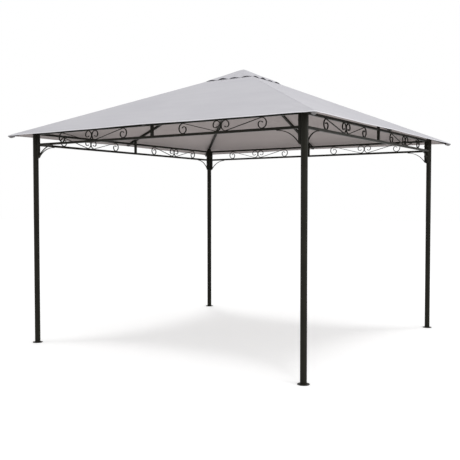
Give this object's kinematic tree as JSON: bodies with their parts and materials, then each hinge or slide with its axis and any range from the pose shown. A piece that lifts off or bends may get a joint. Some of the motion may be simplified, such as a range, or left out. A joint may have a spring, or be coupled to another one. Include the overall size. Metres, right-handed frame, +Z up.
{
  "type": "garden gazebo",
  "caption": "Open square garden gazebo: slim round posts on foot plates carry scrolled side panels, arched brackets, tube rafters and a pale cloth pyramid roof with a vent cap.",
  "frame": {"origin": "on the ground, at the middle of the four posts", "axes": "+Z up, -Y towards the front side, +X to the right as seen from the front"},
  "size_m": [3, 3, 2.4946],
  "materials": {
    "frame": "satin powder coat",
    "canopy": "coated plain-weave polyester",
    "caps": "fine matt moulding"
  },
  "bodies": {
    "root": {"post_front_left": "frame", "post_front_right": "frame", "post_back_right": "frame", "post_back_left": "frame", "foot_front_left": "frame", "foot_front_right": "frame", "foot_back_right": "frame", "foot_back_left": "frame", "front_panel_left": "frame", "front_panel_right": "frame", "right_panel_front": "frame", "right_panel_back": "frame", "back_panel_right": "frame", "back_panel_left": "frame", "left_panel_back": "frame", "left_panel_front": "frame", "front_bracket_left": "frame", "front_bracket_right": "frame", "right_bracket_front": "frame", "right_bracket_back": "frame", "back_bracket_right": "frame", "back_bracket_left": "frame", "left_bracket_back": "frame", "left_bracket_front": "frame", "front_upright": "frame", "right_upright": "frame", "back_upright": "frame", "left_upright": "frame", "front_rafter": "frame", "right_rafter": "frame", "back_rafter": "frame", "left_rafter": "frame", "hip_front_left": "frame", "hip_front_right": "frame", "hip_back_right": "frame", "hip_back_left": "frame", "canopy_front": "canopy", "canopy_right": "canopy", "canopy_back": "canopy", "canopy_left": "canopy", "crown": "frame", "vent_cap": "canopy", "corner_caps": "caps", "side_caps": "caps"}
  },
  "joints": []
}
